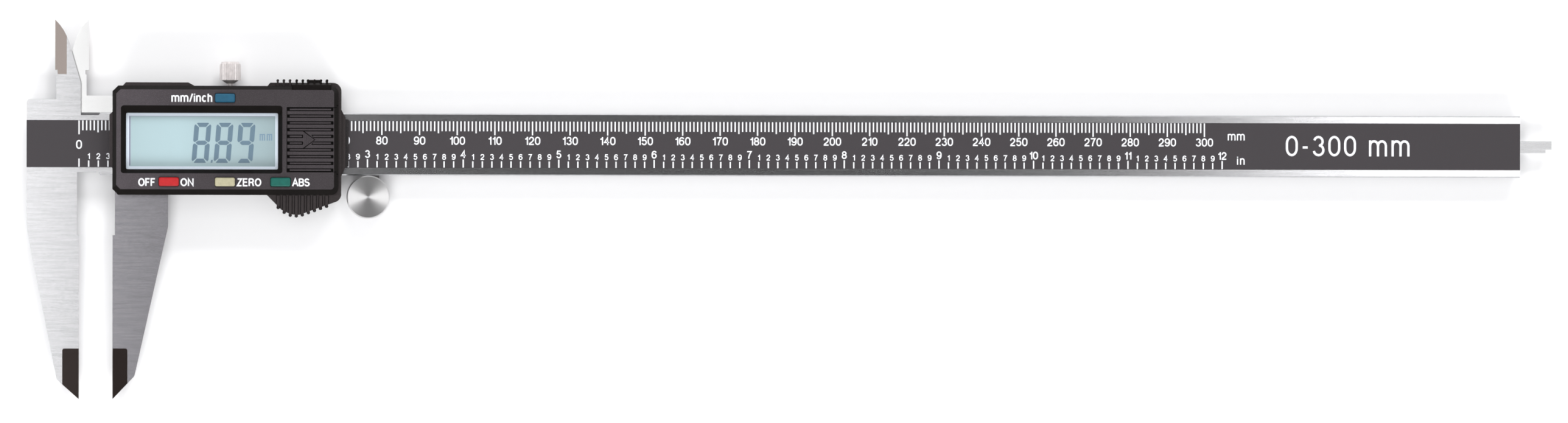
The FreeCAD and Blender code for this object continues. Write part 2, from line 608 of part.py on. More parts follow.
def key(x, y):
    half_x = KEY_SIZE[0] / 2
    half_y = KEY_SIZE[1] / 2
    flange_front = FACE_Z - FACE_WALL - 0.1
    top = FACE_Z + KEY_RISE
    cap_box = (x - half_x, x + half_x, y - half_y, y + half_y)
    cap = slab(rounded(cap_box, 0.45), flange_front - 0.2, top - 0.3)
    crown = tapered(rounded(cap_box, 0.45), top - 0.3, rounded(grown(cap_box, -0.25), 0.3), top)
    flange = slab(rounded(grown(cap_box, 0.5), 0.6), flange_front - 1.0, flange_front)
    stem = post(x, y, BOARD_FRONT + DOME_HEIGHT + KEY_TRAVEL + 0.05, flange_front - 0.5, 0.8)
    return joined([cap, crown, flange, stem])


def housing_screws():
    return Part.makeCompound([slotted_screw(x, y, 0.9, 1.75, 9.2, 1.5, 0.8) for x, y in HOUSING_SCREWS])


def beam_wiper():
    return block(RAIL_RIGHT + 0.25, 62.3, -5.9, 6.6, BEAM_FRONT + 0.1, 6.6)


# ---- Battery and data port -------------------------------------------------------------
def battery_cell():
    radius = CELL_RADIUS
    front = CELL_BACK + CELL_THICK
    return turned(
        [(0, CELL_BACK), (radius - 0.9, CELL_BACK), (radius - 0.7, CELL_BACK + 0.3), (radius - 0.2, CELL_BACK + 0.5),
         (radius, CELL_BACK + 0.8), (radius, front - 0.3), (radius - 0.3, front), (0, front)],
        CELL_X, CELL_Y)


def battery_contact_minus():
    half = 1.5
    leaf = block(45.4, CELL_X + 2.5, CELL_Y - half, CELL_Y + half, FLOOR_FRONT, CELL_BACK - 0.02)
    tab = block(45.4, 46.0, CELL_Y - half, CELL_Y + half, FLOOR_FRONT, BOARD_FRONT + 0.4)
    return joined([leaf, tab])


def battery_contact_plus():
    y = CELL_Y + CELL_RADIUS + 0.05
    return block(49.5, 55.5, y, y + 0.3, FLOOR_FRONT, 12.3)


def grip_slot(left, right, y, half, slant):
    """Outline of one grip slot or bar. slant leans its left end away from the arrow's side."""
    return [(left + max(slant, 0), y - half, 0.1), (right, y - half, 0.15), (right, y + half, 0.15),
            (left + max(-slant, 0), y + half, 0.1)]


def door_grip(middle_y, half, inset):
    """Outlines of the ten grip slots, or of the bars that stand in them when inset by the given length."""
    left, right = DOOR_SLOTS
    base_x, tip_x, arrow_half = DOOR_ARROW
    shapes = []
    for i in range(DOOR_BARS):
        offset = (i - (DOOR_BARS - 1) / 2) * DOOR_BAR_PITCH
        y = middle_y + offset
        if abs(offset) > DOOR_BAR_PITCH:
            shapes.append(grip_slot(left + inset, right - inset, y, half, 0))
            continue
        shapes.append(grip_slot(left + inset, base_x - inset / 2, y, half, 0))
        start = tip_x - 0.85 + inset / 2
        shapes.append(grip_slot(start, right - inset, y, half, math.copysign(1.4 * half, offset)))
    return shapes


def battery_door():
    left, right, bottom, top = DOOR
    left += DOOR_GAP
    bottom += DOOR_GAP
    top -= DOOR_GAP
    back = DOOR_BACK + 0.04
    plate = block(left, COVER_RIGHT, bottom, top, back, FACE_Z)
    tongue = block(left, COVER_RIGHT, bottom - 0.5, top + 0.5, back, 13.28)
    bevel = profile_along_y(
        [(PLATE[1], FACE_Z), (COVER_RIGHT, COVER_SHOULDER), (COVER_RIGHT + 1, COVER_SHOULDER),
         (COVER_RIGHT + 1, FACE_Z + 1), (PLATE[1], FACE_Z + 1)],
        bottom - 2, top + 2)
    door = without(joined([plate, tongue]), [bevel])

    middle_y = (bottom + top) / 2
    slots = [slab(shape, FACE_Z - DOOR_SLOT_DEPTH, FACE_Z + 1) for shape in door_grip(middle_y, 0.45, 0)]
    bars = [slab(shape, FACE_Z - DOOR_SLOT_DEPTH - 0.1, FACE_Z) for shape in door_grip(middle_y, 0.2, 0.65)]
    base_x, tip_x, half = DOOR_ARROW
    groove = 0.2
    arrow = slab([(base_x, middle_y - half, 0), (tip_x, middle_y, 0), (base_x, middle_y + half, 0)],
                 FACE_Z - 0.3, FACE_Z + 1)
    arrow_rim = slab([(base_x, middle_y - half, 0), (base_x + groove, middle_y - half - groove, 0),
                      (tip_x + 1.5 * groove, middle_y, 0), (base_x + groove, middle_y + half + groove, 0),
                      (base_x, middle_y + half, 0)],
                     FACE_Z - 0.3, FACE_Z + 1)
    hatching = []
    for i in range(5):
        x = base_x + 0.45 + 0.45 * i
        reach = half * (tip_x - x) / (tip_x - base_x) - 0.15
        hatching.append(block(x - 0.06, x + 0.06, middle_y - reach, middle_y + reach, FACE_Z - 0.06, FACE_Z + 1))
    return without(joined([without(door, slots)] + bars), [arrow_rim.cut(arrow)] + hatching)


def port_cover():
    left, right, bottom, top = PORT
    gap = 0.05
    body = block(left + gap, right - gap, bottom + 0.05, top, PORT_BACK + gap, PORT_FRONT)
    bevel = profile_along_x([(bottom - 1, PORT_FRONT + 1), (bottom + 0.9, PORT_FRONT + 1),
                             (top + 0.1, PORT_FRONT - 1.4), (top + 1, PORT_FRONT - 1.4), (top + 1, PORT_FRONT + 1)],
                            left - 1, right + 1)
    hollow = block(48.4, 56.3, bottom - 1, 15.0, 6.4, 9.4)
    ribs = [edge_rib(x) for x in (48.5, 50.12, 51.5, 53.2, 54.9, 56.5)]
    thumb = block(51.5, 54.9, top - RIB_FOOT, RIB_TOP_Y - 0.12, RIB_BACK, RIB_FRONT - 1.4)
    return joined([without(body, [bevel, hollow]), thumb] + ribs)


def data_port_contacts():
    bed = block(49.3, 55.3, 13.2, 14.3, 6.9, 8.9)
    pads = [block(49.9 + i * 1.4, 50.7 + i * 1.4, 14.2, 14.6, 7.2, 8.6) for i in range(4)]
    return joined([bed] + pads)


# ---- Lock screw ------------------------------------------------------------------------
def lock_pad():
    bottom = BEAM_HALF + RUN_GAP + GIB_THICK + 0.1
    return rod_along_y(LOCK_X, LOCK_Z, bottom, 10.3, 0.98)


def lock_screw():
    bottom, top = LOCK_HEAD_Y
    shank = rod_along_y(LOCK_X, LOCK_Z, 10.3, 15.2, 1.0)
    neck = rod_along_y(LOCK_X, LOCK_Z, 15.1, 16.2, 0.85)
    cone = Part.makeCone(1.1, 2.35, bottom - 16.1, V(LOCK_X, 16.1, LOCK_Z), V(0, 1, 0))
    points = []
    for i in range(2 * LOCK_TEETH):
        angle = math.pi * i / LOCK_TEETH
        radius = LOCK_HEAD_RADIUS if i % 2 == 0 else LOCK_HEAD_RADIUS - 0.28
        points.append(V(LOCK_X + radius * math.cos(angle), bottom, LOCK_Z + radius * math.sin(angle)))
    knurl = Part.Face(Part.makePolygon(points + points[:1])).extrude(V(0, top - 0.5 - bottom, 0))
    crown = rod_along_y(LOCK_X, LOCK_Z, top - 0.6, top, LOCK_HEAD_RADIUS - 0.45)
    slot = block(LOCK_X - 4, LOCK_X + 4, top - 0.9, top + 1, LOCK_Z - 0.35, LOCK_Z + 0.35)
    return without(joined([shank, neck, cone, knurl, crown]), [slot])


# ---- Export ----------------------------------------------------------------------------
BEAM_PIECES = {
    "beam_with_fixed_jaw": beam_with_fixed_jaw,
    "beam_scale_strip": beam_scale_strip,
    "end_stop_plate": end_stop_plate,
    "end_stop_screws": end_stop_screws,
}

SLIDER_PIECES = {
    "slider_frame": slider_frame,
    "gib_strip": gib_strip,
    "gib_set_screws": gib_set_screws,
    "back_plate": back_plate,
    "back_plate_screws": back_plate_screws,
    "depth_rod": depth_rod,
    "depth_rod_screw": depth_rod_screw,
    "roller_bracket": roller_bracket,
    "roller_axle": roller_axle,
    "thumb_roller": thumb_roller,
    "housing_base": housing_base,
    "front_cover": front_cover,
    "lcd_window": lcd_window,
    "lcd_panel": lcd_panel,
    "lcd_connectors": lcd_connectors,
    "circuit_board": circuit_board,
    "key_domes": key_domes,
    "housing_screws": housing_screws,
    "beam_wiper": beam_wiper,
    "battery_cell": battery_cell,
    "battery_contact_minus": battery_contact_minus,
    "battery_contact_plus": battery_contact_plus,
    "battery_door": battery_door,
    "port_cover": port_cover,
    "data_port_contacts": data_port_contacts,
    "lock_pad": lock_pad,
    "lock_screw": lock_screw,
}

ORIGIN_X = (BEAM_LEFT + BEAM_RIGHT + OPENING) / 2
ORIGIN_Y = (JAW_TIP_Y + BLADE_TIP_Y) / 2


def export(shape, node, shift_x):
    shape.translate(V(shift_x - ORIGIN_X, -ORIGIN_Y, 0))
    if not shape.isValid() or not shape.Solids:
        raise RuntimeError(node + " is not a sound solid")
    shape.exportStep("parts/" + node + ".step")


def main():
    os.makedirs("parts", exist_ok=True)
    for node, make in BEAM_PIECES.items():
        export(make(), node, 0.0)
    for node, make in SLIDER_PIECES.items():
        export(make(), node, OPENING)
    for node, (x, y) in KEYS.items():
        export(key(x, y), node, OPENING)


main()
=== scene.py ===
import math

import bmesh
import bpy
from mathutils import Matrix, Vector


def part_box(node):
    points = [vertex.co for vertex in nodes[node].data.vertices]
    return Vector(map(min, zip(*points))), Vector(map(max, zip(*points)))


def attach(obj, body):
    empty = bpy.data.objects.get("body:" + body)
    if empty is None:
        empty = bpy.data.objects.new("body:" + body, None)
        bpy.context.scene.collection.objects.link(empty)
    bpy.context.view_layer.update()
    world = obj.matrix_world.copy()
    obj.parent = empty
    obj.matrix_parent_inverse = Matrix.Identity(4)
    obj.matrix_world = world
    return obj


# Looks of a 300 mm caliper with a display. Lengths are in metres in the CAD model's frame.
MM = 0.001

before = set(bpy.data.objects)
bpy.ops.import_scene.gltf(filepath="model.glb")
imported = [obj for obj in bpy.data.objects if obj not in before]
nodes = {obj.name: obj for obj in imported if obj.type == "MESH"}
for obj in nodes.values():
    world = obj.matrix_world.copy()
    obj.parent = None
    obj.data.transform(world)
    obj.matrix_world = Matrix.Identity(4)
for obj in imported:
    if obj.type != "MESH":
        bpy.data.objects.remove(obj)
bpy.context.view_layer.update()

# ---- Places read from the CAD model ----------------------------------------------------
strip_low, strip_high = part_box("beam_scale_strip")
cover_low, cover_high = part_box("front_cover")
panel_low, panel_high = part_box("lcd_panel")
roller_low, roller_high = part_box("thumb_roller")
BEAM_LEFT_FROM_ZERO = 13.8 * MM        # the beam's end lies this far left of the scale's zero
COVER_FROM_FACE = 0.04 * MM            # the cover's left edge from the moving jaw's face
ZERO_X = strip_low[0] + BEAM_LEFT_FROM_ZERO
AXIS_Y = (strip_low[1] + strip_high[1]) / 2
STRIP_Z = strip_high[2]
SLIDE_X = cover_low[0] - COVER_FROM_FACE
FACE_Z = cover_high[2]
PANEL_Z = panel_high[2]

PRINT_THICK = 0.012 * MM
STROKE_STEP = 0.004 * MM     # each stroke of a letter stands this much over the one that it crosses
INCH = 25.4


# ---- Node helpers ----------------------------------------------------------------------
class Shader:
    """A material's node tree with short calls for the nodes used here."""

    def __init__(self, name):
        self.material = bpy.data.materials.new(name)
        self.material.use_nodes = True
        self.tree = self.material.node_tree
        self.tree.nodes.clear()
        self.output = self.add("ShaderNodeOutputMaterial")
        self.principled = self.add("ShaderNodeBsdfPrincipled")
        self.link(self.principled.outputs[0], self.output.inputs["Surface"])

    def add(self, kind, **values):
        node = self.tree.nodes.new(kind)
        for name, value in values.items():
            setattr(node, name, value)
        return node

    def link(self, source, target):
        self.tree.links.new(source, target)

    def set(self, **values):
        for name, value in values.items():
            self.principled.inputs[name.replace("_", " ")].default_value = value

    def coordinates(self, scale):
        where = self.add("ShaderNodeTexCoord")
        mapping = self.add("ShaderNodeMapping")
        mapping.inputs["Scale"].default_value = scale
        self.link(where.outputs["Object"], mapping.inputs["Vector"])
        return mapping.outputs[0]

    def noise(self, scale, detail=4.0, size=(1, 1, 1), roughness=0.6):
        node = self.add("ShaderNodeTexNoise")
        node.inputs["Scale"].default_value = scale
        node.inputs["Detail"].default_value = detail
        node.inputs["Roughness"].default_value = roughness
        self.link(self.coordinates(size), node.inputs["Vector"])
        return node.outputs["Fac"]

    def ramp(self, value, stops):
        node = self.add("ShaderNodeValToRGB")
        while len(node.color_ramp.elements) < len(stops):
            node.color_ramp.elements.new(0.5)
        for element, (position, colour) in zip(node.color_ramp.elements, stops):
            element.position = position
            element.color = colour if len(colour) == 4 else (*colour, 1)
        self.link(value, node.inputs["Fac"])
        return node.outputs["Color"]

    def spread(self, value, low, high):
        node = self.add("ShaderNodeMapRange")
        node.inputs["To Min"].default_value = low
        node.inputs["To Max"].default_value = high
        self.link(value, node.inputs["Value"])
        return node.outputs["Result"]

    def mix(self, factor, first, second, kind="MIX"):
        node = self.add("ShaderNodeMix", data_type="RGBA", blend_type=kind)
        for socket, value in (("Factor", factor), ("A", first), ("B", second)):
            target = [s for s in node.inputs if s.name == socket and s.enabled][0]
            if hasattr(value, "links"):
                self.link(value, target)
            else:
                target.default_value = value
        return [s for s in node.outputs if s.enabled][0]

    def spread_along(self, direction):
        """Stretches highlights along a direction in the object's frame, given as numbers or as a socket."""
        if not hasattr(direction, "links"):
            parts = self.add("ShaderNodeCombineXYZ")
            for socket, value in zip(parts.inputs, direction):
                socket.default_value = value
            direction = parts.outputs[0]
        turn = self.add("ShaderNodeVectorTransform", vector_type="VECTOR", convert_from="OBJECT",
                        convert_to="WORLD")
        self.link(direction, turn.inputs[0])
        self.link(turn.outputs[0], self.principled.inputs["Tangent"])

    def step(self, axis, low, high, where="Object"):
        """0 below low and 1 above high, along one axis of a coordinate."""
        place = self.add("ShaderNodeTexCoord")
        split = self.add("ShaderNodeSeparateXYZ")
        self.link(place.outputs[where], split.inputs[0])
        ramp = self.add("ShaderNodeMapRange")
        ramp.inputs["From Min"].default_value = low
        ramp.inputs["From Max"].default_value = high
        self.link(split.outputs[axis], ramp.inputs["Value"])
        return ramp.outputs["Result"]

    def tilted(self, low, high):
        """0 on level and upright faces, 1 on ground faces that lean along the beam by more than high."""
        right = self.step("X", low, high, "Normal")
        left = self.step("X", -low, -high, "Normal")
        either = self.add("ShaderNodeMath", operation="MAXIMUM")
        self.link(right, either.inputs[0])
        self.link(left, either.inputs[1])
        front = self.step("Z", FLAT_FROM, FLAT_FULL, "Normal")
        back = self.step("Z", -FLAT_FROM, -FLAT_FULL, "Normal")
        flat = self.add("ShaderNodeMath", operation="MAXIMUM")
        self.link(front, flat.inputs[0])
        self.link(back, flat.inputs[1])
        return self.times(either.outputs[0], flat.outputs[0])

    def times(self, first, second):
        node = self.add("ShaderNodeMath", operation="MULTIPLY")
        self.link(first, node.inputs[0])
        self.link(second, node.inputs[1])
        return node.outputs[0]

    def bump(self, height, strength, distance):
        node = self.add("ShaderNodeBump")
        node.inputs["Strength"].default_value = strength
        node.inputs["Distance"].default_value = distance
        self.link(height, node.inputs["Height"])
        self.link(node.outputs[0], self.principled.inputs["Normal"])

    def colour_from(self, tone):
        self.link(tone, self.principled.inputs["Base Color"])

    def roughness_from(self, value):
        self.link(value, self.principled.inputs["Roughness"])


def grey(value):
    return (value, value, value, 1)


def shade(colour, factor):
    return (colour[0] * factor, colour[1] * factor, colour[2] * factor, 1)


# ---- Materials -------------------------------------------------------------------------
STEEL = (0.60, 0.60, 0.615)
CHARCOAL = (0.0465, 0.0405, 0.0440)
BLACK_PLASTIC = (0.0045, 0.0036, 0.0033)
FACET_PAINTED_SHADE = (0.15, 0.115, 0.105)       # painted shade on the ground faces of the jaw tips
KNIFE_PAINTED_LIGHT = (0.435, 0.375, 0.345)      # painted light: fixed tone of the ground faces of the inside blades
FACET_LEAN = (0.22, 0.29)               # a facet's painted tone fades in over this lean, sine of the angle
KNIFE_LEAN = (0.38, 0.46)
FLAT_FROM = 0.70                        # faces nearer upright than this have no painted facet tone
FLAT_FULL = 0.80
HIGHLIGHT_FADE = 5 * MM                     # a painted highlight on a steel's front fades in over this much past the axis
FRONT_UP = (0.3, 0.5)                   # how far up a face has to look to count as front
COVER_UP = (0.78, 0.86)                 # and, on plastic, as textured
STREAK = 0.16                           # how far a steel's fine lines differ from its tone
PLASTIC_SHINE = 0.16
SMOOTH_ROUGHNESS = 0.33                 # of the plastic's sides and bevels
LEFT_END_PAINTED_LIGHT = (1.5, 1.5, 1.53)         # painted light: the cover's face is this much lighter at its left end
PAINTED_LIGHT_FROM = 2 * MM                   # and the painted light fades to its own tone between these places
PAINTED_LIGHT_TO = 30 * MM


def brushed_steel(name, colour, roughness, painted_highlight=None):
    """Ground steel with fine lines along the beam, and painted tones on its leaning ground faces. A tone
    given for its front beyond the beam's axis is a painted highlight.
    """
    steel = Shader(name)
    fine = steel.noise(60, 5, (14, 110, 60), 0.8)
    coarse = steel.noise(30, 3, (4, 60, 30), 0.6)
    lines = steel.mix(0.3, fine, coarse)
    tone = steel.ramp(lines, [(0.36, shade(colour, 1 - STREAK)), (0.64, shade(colour, 1 + STREAK))])
    # Painted highlight: the front beyond the beam's axis gets a lighter tone.
    if painted_highlight:
        highlight_lines = steel.ramp(lines, [(0.30, shade(painted_highlight, 1 - STREAK / 2)), (0.70, shade(painted_highlight, 1))])
        beyond = steel.step("Y", AXIS_Y, AXIS_Y + HIGHLIGHT_FADE)
        front = steel.step("Z", *FRONT_UP, "Normal")
        tone = steel.mix(steel.times(beyond, front), tone, highlight_lines)
    # Painted light and shade: ground faces get fixed tones by how far they lean.
    tone = steel.mix(steel.tilted(*FACET_LEAN), tone, shade(FACET_PAINTED_SHADE, 1))
    tone = steel.mix(steel.tilted(*KNIFE_LEAN), tone, shade(KNIFE_PAINTED_LIGHT, 1))
    steel.colour_from(tone)
    steel.roughness_from(steel.spread(fine, roughness - 0.05, roughness + 0.06))
    steel.set(Metallic=1.0, Anisotropic=0.5)
    steel.spread_along((0, 1, 0))
    steel.bump(fine, 0.05, 0.02 * MM)
    return steel.material


def turned_steel(name, colour):
    """Face-turned steel: fine rings round the roller's axis."""
    steel = Shader(name)
    centre = ((roller_low[0] + roller_high[0]) / 2, (roller_low[1] + roller_high[1]) / 2)
    where = steel.add("ShaderNodeTexCoord")
    mapping = steel.add("ShaderNodeMapping")
    mapping.inputs["Location"].default_value = (-centre[0], -centre[1], 0)
    steel.link(where.outputs["Object"], mapping.inputs["Vector"])
    split = steel.add("ShaderNodeSeparateXYZ")
    steel.link(mapping.outputs[0], split.inputs[0])
    flat = steel.add("ShaderNodeCombineXYZ")
    steel.link(split.outputs["X"], flat.inputs["X"])
    steel.link(split.outputs["Y"], flat.inputs["Y"])
    radius = steel.add("ShaderNodeVectorMath", operation="LENGTH")
    steel.link(flat.outputs[0], radius.inputs[0])
    rings = steel.add("ShaderNodeTexNoise", noise_dimensions="1D")
    rings.inputs["Scale"].default_value = 12000
    rings.inputs["Detail"].default_value = 4
    steel.link(radius.outputs["Value"], rings.inputs["W"])
    tone = steel.ramp(rings.outputs["Fac"], [(0.3, shade(colour, 0.97)), (0.7, shade(colour, 1.02))])
    steel.colour_from(tone)
    steel.set(Metallic=1.0, Roughness=0.33, Anisotropic=1.0)
    steel.spread_along(flat.outputs[0])
    steel.bump(rings.outputs["Fac"], 0.02, 0.01 * MM)
    return steel.material


def textured_plastic(name, colour, roughness=0.5, speckle=0.35, depth=0.25, face_from=None):
    """Moulded plastic with a fine sparked texture. With face_from, only surfaces that face up above that
    height have its colour, and the rest is smooth and black."""
    plastic = Shader(name)
    spark = plastic.noise(5200, 3, (1, 1, 1), 0.7)
    cloud = plastic.noise(160, 4)
    tint = plastic.ramp(spark, [(0.30, shade(colour, 1 - speckle)), (0.55, colour + (1,)),
                                (0.78, shade(colour, 1 + 2.2 * speckle))])
    patches = plastic.ramp(cloud, [(0.3, shade(colour, 0.8)), (0.7, shade(colour, 1.25))])
    tone = plastic.mix(0.25, tint, patches)
    rough = plastic.spread(spark, roughness - 0.08, roughness + 0.10)
    if face_from is not None:
        # Painted light: the face is made lighter towards its left end.
        painted_light_left = plastic.step("X", SLIDE_X + PAINTED_LIGHT_TO, SLIDE_X + PAINTED_LIGHT_FROM)
        tone = plastic.mix(painted_light_left, tone, shade(LEFT_END_PAINTED_LIGHT, 1), "MULTIPLY")
        facing = plastic.step("Z", *COVER_UP, "Normal")
        above = plastic.step("Z", face_from, face_from + 0.05 * MM)
        face = plastic.times(facing, above)
        smooth = plastic.ramp(cloud, [(0.3, BLACK_PLASTIC + (1,)), (0.7, shade(BLACK_PLASTIC, 1.5))])
        tone = plastic.mix(face, smooth, tone)
        blend = plastic.add("ShaderNodeMix", data_type="FLOAT")
        blend.inputs[2].default_value = SMOOTH_ROUGHNESS
        plastic.link(face, blend.inputs[0])
        plastic.link(rough, blend.inputs[3])
        rough = blend.outputs[0]
    plastic.colour_from(tone)
    plastic.roughness_from(rough)
    plastic.set(IOR=1.38, Specular_IOR_Level=PLASTIC_SHINE)
    plastic.bump(spark, depth, 0.03 * MM)
    return plastic.material


def moulded_key(name, colour):
    """Smooth moulded key with a soft sheen and faint flow marks."""
    key = Shader(name)
    flow = key.noise(900, 3)
    key.colour_from(key.ramp(flow, [(0.3, shade(colour, 0.88)), (0.7, shade(colour, 1.12))]))
    key.roughness_from(key.spread(flow, 0.38, 0.50))
    key.set(IOR=1.5)
    key.bump(key.noise(4000, 2), 0.08, 0.02 * MM)
    return key.material


def plain_print(name, colour, roughness=0.6):
    """Screen-printed ink, or another even surface, with a faint grain in its tone and gloss."""
    ink = Shader(name)
    grain = ink.noise(6000, 2)
    ink.colour_from(ink.ramp(grain, [(0.3, shade(colour, 0.93)), (0.7, colour + (1,))]))
    ink.roughness_from(ink.spread(grain, roughness - 0.08, roughness + 0.08))
    return ink.material


def strip_film(name, colour):
    """Dark film of the scale: very fine grain, satin."""
    film = Shader(name)
    grain = film.noise(7000, 3, (1, 1, 1), 0.8)
    stops = [(0.30, shade(colour, 0.72)), (0.52, colour + (1,)), (0.75, shade(colour, 1.45))]
    film.colour_from(film.ramp(grain, stops))
    film.roughness_from(film.spread(grain, 0.48, 0.62))
    film.set(IOR=1.45)
    film.bump(grain, 0.12, 0.02 * MM)
    return film.material


def display_glass(name, colour):
    """Reflective backing of the display: pale cyan with a faint grain, and painted shade that darkens it a
    little at its left end and more towards its free end.
    """
    glass = Shader(name)
    split = glass.add("ShaderNodeSeparateXYZ")
    where = glass.add("ShaderNodeTexCoord")
    glass.link(where.outputs["Object"], split.inputs[0])
    across = glass.add("ShaderNodeMapRange")
    across.inputs["From Min"].default_value = panel_low[0]
    across.inputs["From Max"].default_value = panel_high[0]
    glass.link(split.outputs["X"], across.inputs["Value"])
    # Painted shade: a little darker at the left end and much darker towards the free end.
    stops = [(0.0, shade(colour, 0.94)), (0.35, shade(colour, 1.0)), (1.0, shade(colour, 0.65))]
    tone = glass.ramp(across.outputs[0], stops)
    grain = glass.ramp(glass.noise(5000, 2), [(0.3, grey(0.94)), (0.7, grey(1.0))])
    glass.colour_from(glass.mix(1.0, tone, grain, "MULTIPLY"))
    glass.set(Roughness=0.35, IOR=1.5)
    return glass.material


def clear_window(name):
    """Clear plastic, its gloss rubbed a little unevenly."""
    window = Shader(name)
    window.set(Base_Color=(0.96, 0.99, 1.0, 1), Alpha=0.04, IOR=1.4)
    window.roughness_from(window.spread(window.noise(260, 4), 0.11, 0.17))
    window.material.blend_method = "BLEND"
    return window.material


def plated_metal(name, colour, roughness, metallic=1.0):
    """Plated or rolled metal with cloudy wear in its tone and gloss."""
    metal = Shader(name)
    wear = metal.noise(700, 4)
    metal.colour_from(metal.ramp(wear, [(0.3, shade(colour, 0.86)), (0.7, shade(colour, 1.05))]))
    metal.roughness_from(metal.spread(wear, roughness - 0.05, roughness + 0.08))
    metal.set(Metallic=metallic)
    metal.bump(metal.noise(3000, 2), 0.05, 0.02 * MM)
    return metal.material


beam_steel = brushed_steel("beam_steel", STEEL, 0.20)
# The slider's front above the beam's axis carries a painted white highlight.
slider_steel = brushed_steel("slider_steel", (0.36, 0.35, 0.375), 0.24, painted_highlight=(1.0, 1.0, 1.0))
sheet_steel = brushed_steel("sheet_steel", (0.52, 0.52, 0.53), 0.34)
small_steel = plated_metal("small_steel", (0.42, 0.42, 0.43), 0.35)
housing_plastic = textured_plastic("housing_plastic", (0.038, 0.0325, 0.033), 0.46, 0.3, 0.2,
                                   face_from=7.0 * MM)
cover_plastic = textured_plastic("cover_plastic", CHARCOAL, face_from=FACE_Z - 0.1 * MM)
door_plastic = textured_plastic("door_plastic", shade(CHARCOAL, 1.05)[:3], face_from=FACE_Z - 0.1 * MM)
white_ink = plain_print("white_ink", (0.80, 0.81, 0.85))

FINISHES = {
    "beam_with_fixed_jaw": beam_steel,
    "beam_scale_strip": strip_film("scale_film", (0.047, 0.042, 0.046)),
    "end_stop_plate": sheet_steel,
    "end_stop_screws": small_steel,
    "slider_frame": slider_steel,
    "gib_strip": plated_metal("gib_bronze", (0.60, 0.42, 0.20), 0.35),
    "gib_set_screws": small_steel,
    "back_plate": sheet_steel,
    "back_plate_screws": small_steel,
    "depth_rod": brushed_steel("rod_steel", (0.55, 0.55, 0.56), 0.28),
    "depth_rod_screw": small_steel,
    "roller_bracket": plated_metal("bracket_steel", (0.22, 0.21, 0.21), 0.42),
    "roller_axle": small_steel,
    "thumb_roller": turned_steel("roller_steel", (1.0, 0.99, 1.0)),
    "housing_base": housing_plastic,
    "front_cover": cover_plastic,
    "lcd_window": clear_window("window_clear"),
    "lcd_panel": display_glass("lcd_backing", (0.332, 0.467, 0.502)),
    "lcd_connectors": plain_print("connector_rubber", (0.55, 0.20, 0.28)),
    "circuit_board": plain_print("board_laminate", (0.02, 0.12, 0.05)),
    "key_domes": plain_print("dome_silicone", (0.6, 0.6, 0.58)),
    "housing_screws": small_steel,
    "beam_wiper": textured_plastic("wiper_felt", (0.036, 0.033, 0.034), 0.75, 0.5, 0.4),
    "battery_cell": plated_metal("cell_nickel", (0.62, 0.61, 0.58), 0.25),
    "battery_contact_minus": plated_metal("contact_leaf", (0.72, 0.55, 0.26), 0.3),
    "battery_contact_plus": plated_metal("contact_tab", (0.72, 0.55, 0.26), 0.3),
    "battery_door": door_plastic,
    "port_cover": textured_plastic("port_plastic", (0.012, 0.0100, 0.0095), 0.48),
    "data_port_contacts": plated_metal("port_gold", (0.78, 0.58, 0.25), 0.3),
    "lock_pad": plated_metal("pad_bronze", (0.60, 0.42, 0.20), 0.35),
    # Mostly pale diffuse with little metal: painted sheen that stands in for the plated head's reflections.
    "lock_screw": plated_metal("lock_metal_painted_sheen", (0.86, 0.81, 0.805), 0.30, 0.25),
    "key_mm_inch": moulded_key("key_blue", (0.009, 0.078, 0.140)),
    "key_power": moulded_key("key_red", (0.40, 0.010, 0.013)),
    "key_zero": moulded_key("key_cream", (0.385, 0.36, 0.24)),
    "key_abs": moulded_key("key_green", (0.004, 0.096, 0.075)),
}


def dress_nodes():
    for name, node in nodes.items():
        mesh = node.data
        mesh.materials.clear()
        mesh.materials.append(FINISHES[name])


# ---- Printed marks ---------------------------------------------------------------------
def new_piece(name, mesh, material, body):
    piece = bpy.data.objects.new(name, mesh)
    bpy.context.scene.collection.objects.link(piece)
    mesh.materials.clear()
    mesh.materials.append(material)
    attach(piece, body)
    return piece


def add_prism(bm, outline, back, front):
    """Closed prism over a list of (x, y) points, counter-clockwise."""
    low = [bm.verts.new((x, y, back)) for x, y in outline]
    high = [bm.verts.new((x, y, front)) for x, y in outline]
    bm.faces.new(list(reversed(low)))
    bm.faces.new(high)
    for i in range(len(outline)):
        j = (i + 1) % len(outline)
        bm.faces.new((low[i], low[j], high[j], high[i]))


def add_bar(bm, left, right, bottom, top, back, front):
    add_prism(bm, [(left, bottom), (right, bottom), (right, top), (left, top)], back, front)


def finished_mesh(name, bm):
    mesh = bpy.data.meshes.new(name)
    bm.normal_update()
    bm.to_mesh(mesh)
    bm.free()
    return mesh


# ---- Lettering -------------------------------------------------------------------------
def arc(x, y, across, up, start, stop, steps=10):
    """Points on part of an ellipse, angles in degrees."""
    angles = [math.radians(start + (stop - start) * i / steps) for i in range(steps + 1)]
    return [(x + across * math.cos(angle), y + up * math.sin(angle)) for angle in angles]


def turned_about(strokes, width):
    """Strokes given half a turn about the middle of their letter."""
    return [[(width - x, 1 - y) for x, y in stroke] for stroke in strokes]


OVAL = arc(0.29, 0.64, 0.29, 0.36, 0, 180) + arc(0.29, 0.36, 0.29, 0.36, 180, 360) + [(0.58, 0.64)]
SIX = [arc(0.32, 0.60, 0.32, 0.40, 35, 180) + [(0, 0.33)], arc(0.29, 0.31, 0.29, 0.31, 0, 360, 16)]
LOW = 0.77                  # height of small letters beside capitals
ARCH = [(0, 0.50)] + arc(0.21, 0.53, 0.21, 0.24, 160, 0, 6) + [(0.42, -0.06)]

